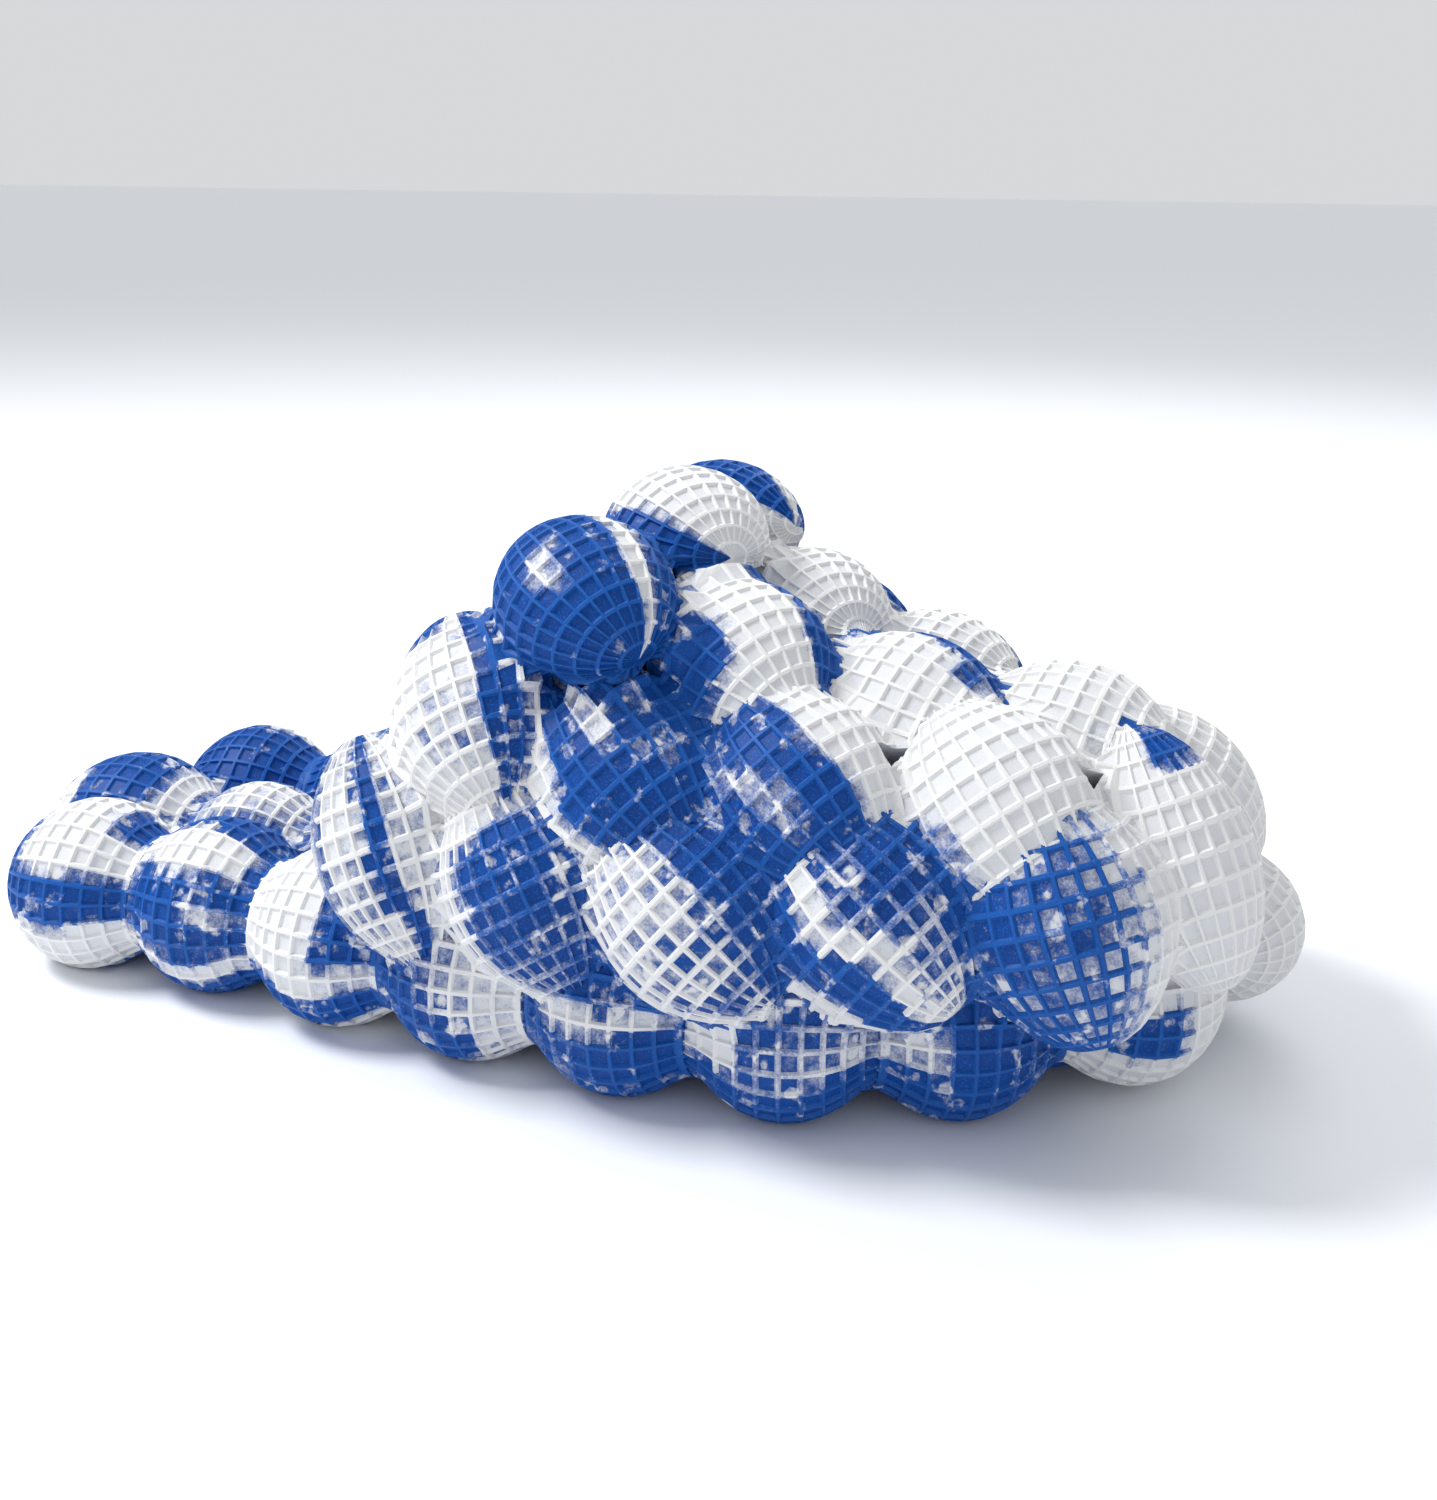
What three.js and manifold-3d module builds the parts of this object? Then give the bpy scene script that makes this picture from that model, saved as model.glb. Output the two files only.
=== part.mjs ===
// Bubble slide: a backless foam slipper for the right foot, moulded in one shot and covered in round
// massage bubbles. Millimetres. +X points to the toe, +Y to the inner side of the foot, +Z up. The origin
// is on the floor, near the middle of the shoe's length.
import * as THREE from 'three';
import { mergeVertices } from 'three/addons/utils/BufferGeometryUtils.js';
import Module from 'manifold-3d';

const wasm = await Module();
wasm.setup();

// ---------------------------------------------------------------- driving dimensions

// Sole: a rim of bubbles round a row of bubbles down the middle.
const SOLE_STATIONS = [-104, -72.5, -41, -9.5, 22, 53, 82]; // x of the outer rim bubbles
const INNER_SHIFT = 4; // the inner rim bubbles stand this much further forward
const FOOTBED_STATIONS = [-114.5, -82, -52, -23, 6, 36, 67, 98]; // x of the middle row, heel bubble first
const SOLE_BUBBLE = { along: 18, across: 17.2, up: 17.8, down: 17.8 }; // half sizes
const HEEL_BUBBLE = { along: 20, across: 18.5, up: 17.8, down: 17.8 };
const SOLE_BUBBLE_Z = 16.5; // centre height, so every bubble stands on a small flat
const FOOTBED_DROP = 3; // the middle row sits this much lower than the rim
const CORE_BOTTOM = 6; // solid foam between the bubbles
const CORE_TOP = 23;

// Vamp: seven rows of bubbles laid side by side over the foot, each from the opening to the toe. The rows
// drift to the inner side as they run forward. For each bubble: its centre [x, y, z], how many degrees its
// long axis turns from the row's direction towards the outer side, its half length and its half width. Depth
// is a bubble's half thickness towards the foot; the lowest outer row is deeper, to fill the step down to
// the sole. The apron point is where the row's web meets the rim of the sole.
const VAMP_ROWS = [
  {
    name: 'outer',
    depth: 11,
    bubbles: [
      [-24, -43.5, 41, 60, 20, 14.5],
      [7, -47, 39.5, 58, 19, 16.5],
      [38.5, -48.5, 39.5, 46, 19.5, 17],
      [69.5, -44, 42, 45, 20, 17.5],
      [102.5, -37.5, 43.5, 75, 20, 18],
    ],
    apron: [112, -16, 28],
  },
  {
    name: 'outer_wall',
    depth: 7,
    bubbles: [
      [-8.5, -37.5, 67, 45, 20, 16],
      [23.5, -40, 59, 45, 19.5, 17.5],
      [55, -38, 60, 45, 18.5, 17],
      [89.5, -32, 58.5, 50, 19, 17.5],
      [119, -20, 50, 60, 21.5, 14],
    ],
    apron: [124, -6, 30],
  },
  {
    name: 'outer_instep',
    depth: 7,
    bubbles: [
      [10.5, -31, 89.5, 45, 18.5, 16.5],
      [38, -21.5, 77.5, 42, 18.5, 17],
      [69, -14.5, 68.5, 28, 18.5, 17],
      [99, -6, 64, 28, 18, 17],
      [117.5, 6.5, 53, 28, 17.5, 15],
    ],
    apron: [128, 8, 30],
  },
  {
    name: 'crest',
    depth: 7,
    bubbles: [
      [19, 1, 96.5, 60, 17.5, 16],
      [43, 9.5, 80, 60, 16.5, 16],
      [68, 17, 67.5, 40, 17, 16.5],
      [94, 25, 52, 18, 18, 17],
      [115, 34, 40, 18, 18.5, 17],
    ],
    apron: [125, 30, 30],
  },
  {
    name: 'inner_instep',
    depth: 7,
    bubbles: [
      [17.5, 30, 93.5, 50, 16.5, 16],
      [41, 38, 69, -25, 18, 17],
      [67, 43, 53, -20, 18, 17],
      [95, 45, 43, -20, 18, 17],
    ],
    apron: [109, 45, 28],
  },
  {
    name: 'inner_wall',
    depth: 7,
    bubbles: [
      [3, 41, 66, -45, 19, 16.5],
      [34, 47, 46, -45, 18.5, 17],
      [66, 48, 39, -45, 18.5, 17],
    ],
    apron: [82, 47, 27],
  },
  {
    name: 'inner',
    depth: 7,
    bubbles: [
      [-19, 41, 41, -60, 19, 15.5],
      [9, 45, 39, -55, 19, 17],
    ],
    apron: [24, 45, 27],
  },
];
const VAMP_HEIGHT = 14; // half thickness of a vamp bubble, outwards
const WEB_HALF = 3.5; // half thickness of the web that joins the vamp bubbles

// Outline of the rim centres, as [x, y] stations from the heel to the toe on each side.
const OUTER_OUTLINE = [
  [-140, -14], [-112, -29], [-72, -29.5], [-41, -33.5], [-10, -36.5],
  [22, -39], [53, -37.5], [85, -25], [111, -8],
];
const INNER_OUTLINE = [
  [-140, 14], [-112, 27], [-72, 28], [-41, 31], [-10, 35],
  [22, 40], [53, 42.5], [85, 43], [108, 40],
];

// Toe bubbles that close the rim: [x, y, z, heading in degrees, half height].
const TOE_RIM = [[111, -8, 19.5, 40, 17.8], [125.5, 25, 21, 90, 15.2], [108, 43, 20, 150, 17.8]];
// Toe bubbles that close the front of the vamp: [x, y, z, heading in degrees].
const TOE_FRONT = [[115, -1, 39, 70], [116, 28, 38, 110]];
const TOE_FRONT_BUBBLE = { along: 18.5, across: 17, up: 14, down: 7 }; // half sizes

// Vent openings through the vamp, each in the middle of three bubbles given as [row, bubble].
const VENTS = [
  [[1, 2], [1, 3], [2, 2]],
  [[1, 3], [1, 4], [2, 3]],
  [[2, 1], [2, 2], [3, 1]],
  [[3, 1], [3, 2], [4, 1]],
  [[4, 1], [4, 2], [5, 1]],
];
const VENT_RADIUS = 3.2;

// Where the foam bends.
const FLEX_PLANES = [-56, -87.5]; // creases between sole rows, across the shoe
const GAP = 0.3; // left between neighbouring zones

// Facets of one bubble.
const FACETS_AROUND = 10;
const FACETS_ALONG = 6;

// ---------------------------------------------------------------- shape helpers

// Straight-line reading of a list of [x, value] stations.
function station(list, x) {
  if (x <= list[0][0]) return list[0][1];
  for (let i = 1; i < list.length; i += 1) {
    const [x0, v0] = list[i - 1];
    const [x1, v1] = list[i];
    if (x <= x1) return THREE.MathUtils.lerp(v0, v1, (x - x0) / (x1 - x0));
  }
  return list[list.length - 1][1];
}

const CENTRES = VAMP_ROWS.map(({ bubbles }) => bubbles.map(([x, y, z]) => new THREE.Vector3(x, y, z)));

// Outward from the hollow that holds the foot.
function vampOutward(point) {
  const core = new THREE.Vector3(Math.min(point.x, 95), 4 + 0.08 * point.x, 30);
  return point.clone().sub(core).normalize();
}

// A vamp bubble's long axis: along its row, turned towards the outer side.
function vampForward(row, i) {
  const centres = CENTRES[row];
  const from = Math.min(i, centres.length - 2);
  const outward = vampOutward(centres[i]);
  const ahead = centres[from + 1].clone().sub(centres[from]);
  ahead.addScaledVector(outward, -ahead.dot(outward)).normalize();
  const turn = THREE.MathUtils.degToRad(VAMP_ROWS[row].bubbles[i][3]);
  const down = ahead.clone().cross(outward);
  return ahead.multiplyScalar(Math.cos(turn)).addScaledVector(down, Math.sin(turn));
}

// A closed three.js geometry as a solid that can be joined and cut.
function solidOf(geometry) {
  const plain = geometry.clone();
  plain.deleteAttribute('normal');
  plain.deleteAttribute('uv');
  const merged = mergeVertices(plain, 1e-4);
  return new wasm.Manifold(new wasm.Mesh({
    numProp: 3,
    vertProperties: new Float32Array(merged.attributes.position.array),
    triVerts: new Uint32Array(merged.index.array),
  }));
}

// One bubble: an egg drawn out to a soft point at both ends of its long axis.
function bubble(centre, forward, outward, half, grow = 0) {
  const geometry = new THREE.SphereGeometry(1, FACETS_AROUND, FACETS_ALONG);
  const position = geometry.attributes.position;
  for (let i = 0; i < position.count; i += 1) {
    const t = position.getY(i);
    const height = position.getZ(i);
    position.setY(i, t + 0.1 * t ** 5);
    position.setZ(i, height * (height > 0 ? half.up + grow : half.down + grow));
  }
  const along = forward.clone().normalize();
  const up = outward.clone().addScaledVector(along, -outward.dot(along)).normalize();
  const across = along.clone().cross(up);
  geometry.scale(half.across + grow, half.along + grow, 1);
  geometry.applyMatrix4(new THREE.Matrix4().makeBasis(across, along, up));
  geometry.translate(centre.x, centre.y, centre.z);
  return solidOf(geometry);
}

// A box between two corners.
function box(x0, x1, y0, y1, z0, z1) {
  const geometry = new THREE.BoxGeometry(x1 - x0, y1 - y0, z1 - z0);
  geometry.translate((x0 + x1) / 2, (y0 + y1) / 2, (z0 + z1) / 2);
  return solidOf(geometry);
}

function joined(solids) {
  return solids.reduce((whole, next) => whole.add(next));
}

// ---------------------------------------------------------------- sole

const UP = new THREE.Vector3(0, 0, 1);
const AHEAD = new THREE.Vector3(1, 0, 0);

function soleRim(grow) {
  const solids = [];
  for (const [outline, shift] of [[OUTER_OUTLINE, 0], [INNER_OUTLINE, INNER_SHIFT]]) {
    for (const stationX of SOLE_STATIONS) {
      const x = stationX + shift;
      const y = station(outline, x);
      const heading = new THREE.Vector3(12, station(outline, x + 6) - station(outline, x - 6), 0);
      solids.push(bubble(new THREE.Vector3(x, y, SOLE_BUBBLE_Z), heading, UP, SOLE_BUBBLE, grow));
    }
  }
  for (const [x, y, z, heading, height] of TOE_RIM) {
    const turn = THREE.MathUtils.degToRad(heading);
    const ahead = new THREE.Vector3(Math.cos(turn), Math.sin(turn), 0);
    const half = { ...SOLE_BUBBLE, up: height, down: height };
    solids.push(bubble(new THREE.Vector3(x, y, z), ahead, UP, half, grow));
  }
  return solids;
}

function footbedRow(grow) {
  return FOOTBED_STATIONS.map((x, i) => {
    const inner = station(INNER_OUTLINE, x);
    const outer = station(OUTER_OUTLINE, x);
    const half = { ...SOLE_BUBBLE, across: Math.max(SOLE_BUBBLE.across, (inner - outer) / 2 - 17) };
    const z = i === 0 ? SOLE_BUBBLE_Z : SOLE_BUBBLE_Z - FOOTBED_DROP;
    const centre = new THREE.Vector3(x, (inner + outer) / 2, z);
    return bubble(centre, AHEAD, UP, i === 0 ? HEEL_BUBBLE : half, grow);
  });
}

// The solid foam that the sole bubbles grow out of.
function soleCore(grow) {
  const shape = new THREE.Shape();
  const from = SOLE_STATIONS[0] - 8;
  shape.moveTo(from, station(OUTER_OUTLINE, from) + 8 - grow);
  for (let x = -80; x <= 110; x += 38) shape.lineTo(x, station(OUTER_OUTLINE, x) - grow);
  shape.lineTo(123, 22);
  for (let x = 110; x >= -80; x -= 38) shape.lineTo(x, station(INNER_OUTLINE, x) + grow);
  shape.lineTo(from, station(INNER_OUTLINE, from) - 8 + grow);
  const depth = CORE_TOP - CORE_BOTTOM + grow;
  const geometry = new THREE.ExtrudeGeometry(shape, { depth, bevelEnabled: false });
  geometry.translate(0, 0, CORE_BOTTOM);
  return solidOf(geometry);
}

function soleSolid(grow = 0) {
  return joined([soleCore(grow), ...soleRim(grow), ...footbedRow(grow)])
    .subtract(box(-200, 200, -120, 120, -40, 0));
}

// ---------------------------------------------------------------- vamp

function vampBubbles() {
  const solids = [];
  CENTRES.forEach((centres, row) => {
    centres.forEach((centre, i) => {
      const [along, across] = VAMP_ROWS[row].bubbles[i].slice(4);
      const half = { along, across, up: VAMP_HEIGHT, down: VAMP_ROWS[row].depth };
      solids.push(bubble(centre, vampForward(row, i), vampOutward(centre), half));
    });
  });
  for (const [x, y, z, heading] of TOE_FRONT) {
    const turn = THREE.MathUtils.degToRad(heading);
    const ahead = new THREE.Vector3(Math.cos(turn), Math.sin(turn), 0);
    const centre = new THREE.Vector3(x, y, z);
    solids.push(bubble(centre, ahead, new THREE.Vector3(1, 0, 0.4), TOE_FRONT_BUBBLE));
  }
  return solids;
}

// The web of foam that joins the vamp bubbles: a shell through the rows, carried down to the rim.
function vampWeb() {
  const steps = 6;
  const grid = VAMP_ROWS.map(({ apron }, row) => [
    ...new THREE.CatmullRomCurve3(CENTRES[row]).getSpacedPoints(steps),
    new THREE.Vector3(...apron),
  ]);
  const rows = grid.length;
  const cols = steps + 2;
  const points = [];
  for (const side of [WEB_HALF, -WEB_HALF]) {
    for (const line of grid) {
      for (const point of line) points.push(point.clone().addScaledVector(vampOutward(point), side));
    }
  }
  const layer = rows * cols;
  const faces = [];
  const quad = (a, b, c, d) => faces.push(a, b, c, a, c, d);
  for (let j = 0; j < rows - 1; j += 1) {
    for (let i = 0; i < cols - 1; i += 1) {
      const a = j * cols + i;
      quad(a, a + 1, a + cols + 1, a + cols);
      quad(layer + a, layer + a + cols, layer + a + cols + 1, layer + a + 1);
    }
    const rear = j * cols;
    quad(rear, rear + cols, layer + rear + cols, layer + rear);
    const front = rear + cols - 1;
    quad(front, layer + front, layer + front + cols, front + cols);
  }
  for (let i = 0; i < cols - 1; i += 1) {
    quad(i, layer + i, layer + i + 1, i + 1);
    const a = (rows - 1) * cols + i;
    quad(a, a + 1, layer + a + 1, layer + a);
  }
  const geometry = new THREE.BufferGeometry().setFromPoints(points);
  geometry.setIndex(faces);
  return solidOf(geometry);
}

// A three-cornered hole through the web, its corners running into the creases between the bubbles round it.
function vent(trio) {
  const around = trio.map(([row, i]) => CENTRES[row][i]);
  const centre = around[0].clone().add(around[1]).add(around[2]).divideScalar(3);
  const outward = vampOutward(centre);
  const crease = around[0].clone().add(around[1]).divideScalar(2).sub(centre);
  crease.addScaledVector(outward, -crease.dot(outward)).normalize();
  const geometry = new THREE.CylinderGeometry(VENT_RADIUS, VENT_RADIUS, 44, 3);
  geometry.applyMatrix4(new THREE.Matrix4().makeBasis(outward.clone().cross(crease), outward, crease));
  geometry.translate(centre.x, centre.y, centre.z);
  return solidOf(geometry);
}

function vampSolid() {
  return joined([vampWeb(), ...vampBubbles()])
    .subtract(joined(VENTS.map(vent)))
    .subtract(soleSolid(GAP));
}

// ---------------------------------------------------------------- assembly

function foam(color) {
  return new THREE.MeshStandardMaterial({ color, roughness: 0.62, metalness: 0 });
}

function mesh(name, solid, material) {
  const { vertProperties, triVerts } = solid.getMesh();
  const geometry = new THREE.BufferGeometry();
  geometry.setAttribute('position', new THREE.BufferAttribute(new Float32Array(vertProperties), 3));
  geometry.setIndex(new THREE.BufferAttribute(new Uint32Array(triVerts), 1));
  geometry.computeVertexNormals();
  const result = new THREE.Mesh(geometry, material);
  result.name = name;
  return result;
}

const BLUE = 0x1f4fae;
const PALE = 0xe9edf2;

const sole = soleSolid();
const [frontPlane, rearPlane] = FLEX_PLANES;
const slab = (x0, x1) => box(x0, x1, -120, 120, -10, 60);

const group = new THREE.Group();
group.name = 'bubble_slide';
const frontZone = slab(frontPlane + GAP / 2, 200);
const middleZone = slab(rearPlane + GAP / 2, frontPlane - GAP / 2);
const rearZone = slab(-200, rearPlane - GAP / 2);
group.add(mesh('forefoot_sole', sole.intersect(frontZone), foam(BLUE)));
group.add(mesh('heel_front_sole', sole.intersect(middleZone), foam(BLUE)));
group.add(mesh('heel_end_sole', sole.intersect(rearZone), foam(BLUE)));
group.add(mesh('vamp', vampSolid(), foam(PALE)));

export default group;
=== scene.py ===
"""Looks of the bubble slide: a moulded foam slipper marbled in cobalt blue and white.

Lengths of the layout are millimetres in the part's frame (+X toe, +Y inner side, +Z up); MM turns them
into the frame's metres. Every bubble is an egg with raised lines along its meridians and parallels, swollen
near its neighbours so that the valleys between bubbles are round. The bubbles are joined into one skin for
each zone, and each cell between the lines takes its own share of blue.
"""

import math

import bmesh
import bpy
import numpy as np
from mathutils import Matrix, Vector, noise
from mathutils.bvhtree import BVHTree
from mathutils.kdtree import KDTree


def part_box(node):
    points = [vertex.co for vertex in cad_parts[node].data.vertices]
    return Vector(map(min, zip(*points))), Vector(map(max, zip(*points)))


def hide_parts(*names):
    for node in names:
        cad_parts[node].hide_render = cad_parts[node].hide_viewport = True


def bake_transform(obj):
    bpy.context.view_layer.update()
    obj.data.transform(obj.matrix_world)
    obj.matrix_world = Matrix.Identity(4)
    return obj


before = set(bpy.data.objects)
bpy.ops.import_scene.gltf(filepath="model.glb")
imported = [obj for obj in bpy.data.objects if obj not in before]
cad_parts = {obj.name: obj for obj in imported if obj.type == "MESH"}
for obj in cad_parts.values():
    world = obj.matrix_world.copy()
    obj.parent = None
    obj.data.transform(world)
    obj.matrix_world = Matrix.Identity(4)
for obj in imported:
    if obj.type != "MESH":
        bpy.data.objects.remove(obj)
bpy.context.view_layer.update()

HEEL_END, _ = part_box("heel_end_sole")
_, TOE_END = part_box("forefoot_sole")

# ---------------------------------------------------------------- layout, in millimetres

LENGTH = 279.2  # of the whole shoe, heel bubble to toe bubble
MM = (TOE_END.x - HEEL_END.x) / LENGTH  # metres in one of the layout's millimetres

SOLE_STATIONS = [-104, -72.5, -41, -9.5, 22, 53, 82]  # x of the outer rim bubbles
INNER_SHIFT = 4  # the inner rim bubbles stand this much further forward
FOOTBED_STATIONS = [-114.5, -82, -52, -23, 6, 36, 67, 98]  # x of the middle row, heel bubble first
HEEL_HALF = {"along": 19.5, "across": 18, "up": 17.4, "down": 17.4}
SOLE_HALF = {"along": 17.6, "across": 16.8, "up": 17.4, "down": 17.4}
SOLE_Z = 16.5  # centre height of the rim bubbles
FOOTBED_DROP = 3.0  # the middle row sits this much lower than the rim
SLAB_TOP = 22.5  # height of the foam between the sole bubbles
SLAB_UNDER = 0.8  # how far that foam stays under the tops of the bubbles
SLAB_SOFTNESS = 4.5  # width of its rounding in the valleys
# Rim centres, as (x, y) stations from the heel to the toe on each side.
OUTER_OUTLINE = [
    (-140, -14), (-112, -29), (-72, -29.5), (-41, -33.5), (-10, -36.5), (22, -39), (53, -37.5),
    (85, -25), (111, -8),
]
INNER_OUTLINE = [
    (-140, 14), (-112, 27), (-72, 28), (-41, 31), (-10, 35), (22, 40), (53, 42.5), (85, 43), (108, 40),
]
# Toe bubbles of the rim: x, y, z, heading in degrees, half height.
TOE_RIM = [(111, -8, 19.5, 40, 17.4), (125.5, 25, 21, 90, 14.8), (108, 43, 20, 150, 17.4)]

# Vamp rows, from the opening to the toe. Each bubble: centre x, y, z, how far its long axis turns from the
# row's direction towards the outer side, and its half length and half width.
VAMP_ROWS = {
    "outer": [
        (-24, -43.5, 41, 60, 20, 14.5), (7, -47, 39.5, 58, 19, 16.5), (38.5, -48.5, 39.5, 46, 19.5, 17),
        (69.5, -44, 42, 45, 20, 17.5), (102.5, -37.5, 43.5, 75, 20, 18),
    ],
    "outer_wall": [
        (-8.5, -37.5, 67, 45, 20, 16), (23.5, -40, 59, 45, 19.5, 17.5), (55, -38, 60, 45, 18.5, 17),
        (89.5, -32, 58.5, 50, 19, 17.5), (119, -20, 50, 60, 21.5, 14),
    ],
    "outer_instep": [
        (10.5, -31, 89.5, 45, 18.5, 16.5), (38, -21.5, 77.5, 42, 18.5, 17), (69, -14.5, 68.5, 28, 18.5, 17),
        (99, -6, 64, 28, 18, 17), (117.5, 6.5, 53, 28, 17.5, 15),
    ],
    "crest": [
        (19, 1, 96.5, 60, 17.5, 16), (43, 9.5, 80, 60, 16.5, 16), (68, 17, 67.5, 40, 17, 16.5),
        (94, 25, 52, 18, 18, 17), (115, 34, 40, 18, 18.5, 17),
    ],
    "inner_instep": [
        (17.5, 30, 93.5, 50, 16.5, 16), (41, 38, 69, -25, 18, 17), (67, 43, 53, -20, 18, 17),
        (95, 45, 43, -20, 18, 17),
    ],
    "inner_wall": [(3, 41, 66, -45, 19, 16.5), (34, 47, 46, -45, 18.5, 17), (66, 48, 39, -45, 18.5, 17)],
    "inner": [(-19, 41, 41, -60, 19, 15.5), (9, 45, 39, -55, 19, 17)],
}
APRON = {  # where each row's web meets the rim of the sole
    "outer": (112, -16, 28), "outer_wall": (124, -6, 30), "outer_instep": (128, 8, 30),
    "crest": (125, 30, 30), "inner_instep": (109, 45, 28), "inner_wall": (82, 47, 27),
    "inner": (24, 45, 27),
}
VAMP_UP = 13.6  # half thickness of a vamp bubble, outwards
VAMP_DEPTH = 7.0  # and towards the foot
OUTER_DEPTH = 11.0  # the same for the lowest outer row, which fills the step down to the sole
WEB_HALF = 3.0  # half thickness of the web between the vamp bubbles
TOE_FRONT = [(115, -1, 39, 70), (116, 28, 38, 110)]  # x, y, z, heading in degrees
VENTS = [  # each through the web between three bubbles, given as (row, bubble)
    (("outer_wall", 2), ("outer_wall", 3), ("outer_instep", 2)),
    (("outer_wall", 3), ("outer_wall", 4), ("outer_instep", 3)),
    (("outer_instep", 1), ("outer_instep", 2), ("crest", 1)),
    (("crest", 1), ("crest", 2), ("inner_instep", 1)),
    (("inner_instep", 1), ("inner_instep", 2), ("inner_wall", 1)),
]
VENT_RADIUS = 3.2

DRAWN_OUT = 0.1  # how much longer the pointed tips make a bubble than an ellipsoid
CREASE_RADIUS = 3.5  # of the rounded valley between two bubbles
CREASE_SHARE = 0.85  # of the full rounding; under 1, so that two skins cross and never lie on each other
CREASE_CAP = 1.15  # how high a skin may rise, as a share of the height at the middle of the valley
SEAM = SOLE_STATIONS[1]  # the sole's two pieces meet on a raised line across this row

# Raised lines: how many, and their section.
MERIDIANS = 26
PARALLELS = 14
LINE_TOP = 0.07  # half width of a line's flat top, as a share of a cell
LINE_FOOT = 0.15  # half width of a line at its foot
LINE_HEIGHT = 0.6
SHARP_ANGLE = 28  # degrees; edges that turn less are shaded smooth

# ---------------------------------------------------------------- curves


def station(stations, x):
    """Straight-line reading of (x, value) stations."""
    return float(np.interp(x, [s[0] for s in stations], [s[1] for s in stations]))


def rail_point(points, share):
    """A point of the centripetal curve through points, share of the way along its spans."""
    place = share * (len(points) - 1)
    i = min(int(place), len(points) - 2)
    w = place - i
    p1, p2 = points[i], points[i + 1]
    p0 = points[i - 1] if i > 0 else 2 * p1 - p2
    p3 = points[i + 2] if i + 2 < len(points) else 2 * p2 - p1
    d0, d1, d2 = [(b - a).length ** 0.5 for a, b in ((p0, p1), (p1, p2), (p2, p3))]
    t1 = ((p1 - p0) / d0 - (p2 - p0) / (d0 + d1) + (p2 - p1) / d1) * d1
    t2 = ((p2 - p1) / d1 - (p3 - p1) / (d1 + d2) + (p3 - p2) / d2) * d1
    return p1 + t1 * w + (3 * (p2 - p1) - 2 * t1 - t2) * w**2 + (2 * (p1 - p2) + t1 + t2) * w**3


def spaced(through, count):
    """count points, evenly spaced along the curve through the given ones."""
    points = [Vector(p) for p in through]
    fine = [rail_point(points, i / 200) for i in range(201)]
    run = np.cumsum([0] + [(b - a).length for a, b in zip(fine, fine[1:])])
    shares = [float(np.interp(run[-1] * k / (count - 1), run, np.arange(201) / 200)) for k in range(count)]
    return [rail_point(points, share) for share in shares]


CENTRES = {row: [Vector(bubble[:3]) for bubble in bubbles] for row, bubbles in VAMP_ROWS.items()}


def vamp_outward(p):
    """Away from the middle of the hollow that holds the foot."""
    core = Vector((min(p.x, 95), 4 + 0.08 * p.x, 30))
    return (p - core).normalized()


def vamp_forward(row, i):
    """The long axis of a vamp bubble: along its row, turned towards the outer side."""
    centres = CENTRES[row]
    start = min(i, len(centres) - 2)
    ahead = (centres[start + 1] - centres[start]).normalized()
    outward = vamp_outward(centres[i])
    ahead = (ahead - outward * ahead.dot(outward)).normalized()
    twist = math.radians(VAMP_ROWS[row][i][3])
    return ahead * math.cos(twist) + ahead.cross(outward) * math.sin(twist)


# ---------------------------------------------------------------- marbling


WHITE = 0.03  # share of blue in a patch that reads as white
BLUE = 0.95  # and in one that reads as blue
APART = Vector((9.3, 4.1, 7.7))  # between two readings of one noise that should not look alike


def band(low, high, share, rear=-1.2, front=1.2):
    """A patch of a bubble: from low to high degrees round its long axis, from rear to front along it."""
    return low, high, share, rear, front


def marbling(base, *bands, net=0.0):
    """A bubble's share of blue, its patches, and how much bluer its raised lines are than its cells."""
    return base, net, bands


def inside(area, phi, t, width=10.0):
    """How far a place on a bubble lies inside a band: 1 inside, 0 outside."""
    low, high, _, rear, front = area
    depth = min(phi - low, high - phi, (t - rear) * 70, (front - t) * 70)
    return min(max(0.5 + depth / width, 0.0), 1.0)


def marble_value(paint, place, phi, t):
    """Share of blue at a place in millimetres, phi degrees round the bubble and t along it."""
    phi = phi + 22 * noise.noise(place / 15.0)
    t = t + 0.2 * noise.noise(place / 15.0 + APART)
    base, _, bands = paint
    cloud = noise.fractal(place / 30.0, 0.8, 2.2, 3)
    value = base + 0.6 * cloud * (1 - abs(2 * base - 1) * 0.75)
    for area in bands:
        weight = inside(area, phi, t)
        value = value * (1 - weight) + area[2] * weight
    return min(max(value, 0.0), 1.0)


def cell_values(net, flow, faces, kind, places):
    """Blue share of each face: its corners' mean, with a shift of its own and the net on raised lines."""
    values = np.empty(len(faces), np.float32)
    for k, (face, is_line, place) in enumerate(zip(faces, kind, places)):
        value = float(sum(flow[i] for i in face)) / len(face)
        mixed = max(0.0, 1 - abs(2 * value - 1))
        if is_line:
            value += net * (0.35 + 0.65 * mixed)
        else:
            value += 0.35 * noise.noise(place / 4.0) * (0.15 + mixed)
        values[k] = min(max(value, 0.0), 1.0)
    return values


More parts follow.
